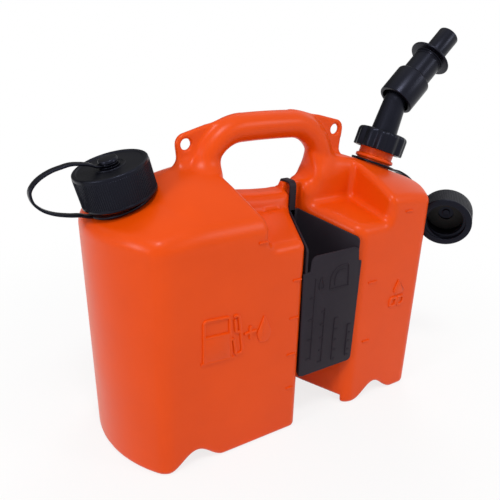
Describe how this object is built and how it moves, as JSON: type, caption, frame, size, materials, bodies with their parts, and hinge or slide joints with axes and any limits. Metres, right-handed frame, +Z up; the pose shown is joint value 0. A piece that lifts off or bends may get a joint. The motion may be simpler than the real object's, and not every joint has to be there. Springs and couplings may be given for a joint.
{
  "type": "combination fuel can",
  "caption": "Orange blow-moulded can with a fuel tank and an oil tank joined by a carry handle, tethered black screw caps, a sliding pour spout and a tool tray in the gap.",
  "frame": {"origin": "on the floor under the middle of the body", "axes": "+Z up, +X from the fuel tank to the oil tank, -Y out of the front with the tool tray"},
  "size_m": [0.4668, 0.1686, 0.3796],
  "materials": {
    "orange_hdpe": "satin",
    "black_pp": "satin",
    "black_rubber": "matte",
    "spring_steel": "satin",
    "grey_pp": "satin"
  },
  "bodies": {
    "tank": {"fuel_tank": "orange_hdpe", "oil_tank": "orange_hdpe", "mid_web": "orange_hdpe", "carry_handle": "orange_hdpe", "left_ear": "orange_hdpe", "right_ear": "orange_hdpe", "fuel_tether": "black_pp"},
    "fuel_button": {"fuel_tether_button": "black_pp"},
    "fuel_cap": {"fuel_cap": "black_pp", "fuel_cap_gasket": "black_rubber"},
    "oil_tether": {"oil_tether": "black_pp", "oil_tether_button": "black_pp"},
    "oil_cap": {"oil_cap": "black_pp", "oil_cap_gasket": "black_rubber"},
    "spout_seal": {"spout_gasket": "black_rubber"},
    "spout_nut": {"spout_nut": "black_pp"},
    "spout_tube": {"spout_elbow": "black_pp", "spout_collar": "black_pp", "spout_valve": "black_pp", "spout_vent_tube": "black_pp", "spout_spring": "spring_steel"},
    "spout_slider": {"spout_slider": "black_pp", "spout_tip": "black_pp", "spout_o_ring": "black_rubber"},
    "tray": {"tool_tray": "grey_pp"}
  },
  "joints": [
    {"name": "fuel_cap_lift", "type": "slide", "parent": "tank", "child": "fuel_button", "axis": [-0.2672, 0, 0.9636], "range_m": [0, 0.012], "deforming": ["fuel_tether"]},
    {"name": "fuel_cap_spin", "type": "hinge", "parent": "fuel_button", "child": "fuel_cap", "pos_m": [-0.145, 0, 0.23797], "axis": [-0.2672, 0, 0.9636], "range_deg": [0, 960.01]},
    {"name": "oil_tether_swivel", "type": "hinge", "parent": "tank", "child": "oil_tether", "pos_m": [0.143, 0, 0.23872], "axis": [0.3502, 0, 0.9367], "range_deg": [0, 50]},
    {"name": "oil_cap_spin", "type": "hinge", "parent": "oil_tether", "child": "oil_cap", "pos_m": [0.20806, -0.056, 0.19144], "axis": [-0.7646, -0.5974, -0.2419], "continuous": true},
    {"name": "spout_lift", "type": "slide", "parent": "tank", "child": "spout_seal", "axis": [0.3502, 0, 0.9367], "range_m": [0, 0.012]},
    {"name": "spout_nut_spin", "type": "hinge", "parent": "spout_seal", "child": "spout_nut", "pos_m": [0.143, 0, 0.23872], "axis": [0.3502, 0, 0.9367], "range_deg": [0, 960.01]},
    {"name": "spout_swivel", "type": "hinge", "parent": "spout_seal", "child": "spout_tube", "pos_m": [0.143, 0, 0.23872], "axis": [0.3502, 0, 0.9367], "continuous": true},
    {"name": "spout_slide", "type": "slide", "parent": "spout_tube", "child": "spout_slider", "axis": [-0.7314, 0, -0.682], "range_m": [0, 0.012], "stiffness_N_per_m": 200, "springref_m": -0.01, "deforming": ["spout_spring"]},
    {"name": "tray_lift", "type": "slide", "parent": "tank", "child": "tray", "axis": [0, 0, 1], "range_m": [0, 0.025]}
  ],
  "couplings": [
    {"joint": "fuel_cap_spin", "follows": "fuel_cap_lift", "rad_per_m": 1396.3},
    {"joint": "spout_nut_spin", "follows": "spout_lift", "rad_per_m": 1396.3}
  ]
}
